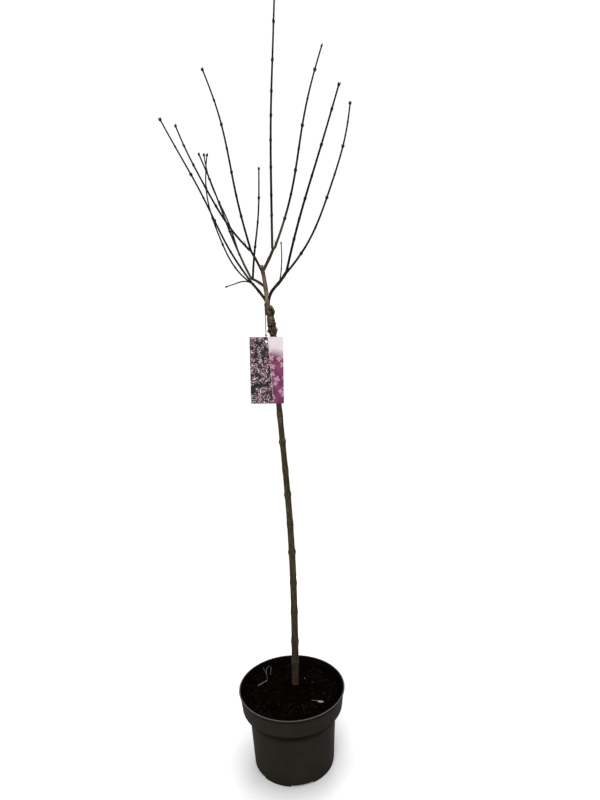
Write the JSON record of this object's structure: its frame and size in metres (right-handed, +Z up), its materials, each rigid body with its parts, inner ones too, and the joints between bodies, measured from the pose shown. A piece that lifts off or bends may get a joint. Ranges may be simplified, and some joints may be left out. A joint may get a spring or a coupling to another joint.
{
  "type": "grafted lilac half-standard in a pot",
  "caption": "Young grafted lilac in winter: a clear stem, a knobbly graft union and a bare crown of upright shoots, in a round nursery pot with a hanging label.",
  "frame": {"origin": "centre of the pot's flat underside, on the floor", "axes": "+Z up along the stem, +X to the right and +Y to the back when the label faces the viewer"},
  "size_m": [0.3627, 0.2335, 1.5882],
  "materials": {
    "pot_plastic": "satin",
    "compost": "matte",
    "stem_bark": "matte",
    "graft_bark": "matte",
    "scion_bark": "matte",
    "bough_bark": "matte",
    "shoot_bark": "matte",
    "twig_bark": "matte",
    "label_card": "satin",
    "tie_twine": "matte"
  },
  "bodies": {
    "root": {"pot": "pot_plastic", "soil": "compost", "trunk": "stem_bark", "graft_union": "graft_bark", "scion_stem": "scion_bark", "bough_left_low": "bough_bark", "bough_left_mid": "bough_bark", "bough_right": "bough_bark", "bough_top_right": "bough_bark", "bough_top_left": "bough_bark", "shoot_centre": "shoot_bark", "shoot_top_right": "shoot_bark", "shoot_right_inner": "shoot_bark", "shoot_right_outer": "shoot_bark", "shoot_top_left_inner": "shoot_bark", "shoot_top_left_outer": "shoot_bark", "shoot_low_left": "shoot_bark", "shoot_low_front": "shoot_bark", "shoot_mid_back": "shoot_bark", "shoot_mid_front": "shoot_bark", "shoot_mid_upright": "shoot_bark", "twig_right": "twig_bark", "twig_left": "twig_bark", "label": "label_card", "label_tie": "tie_twine"}
  },
  "joints": []
}
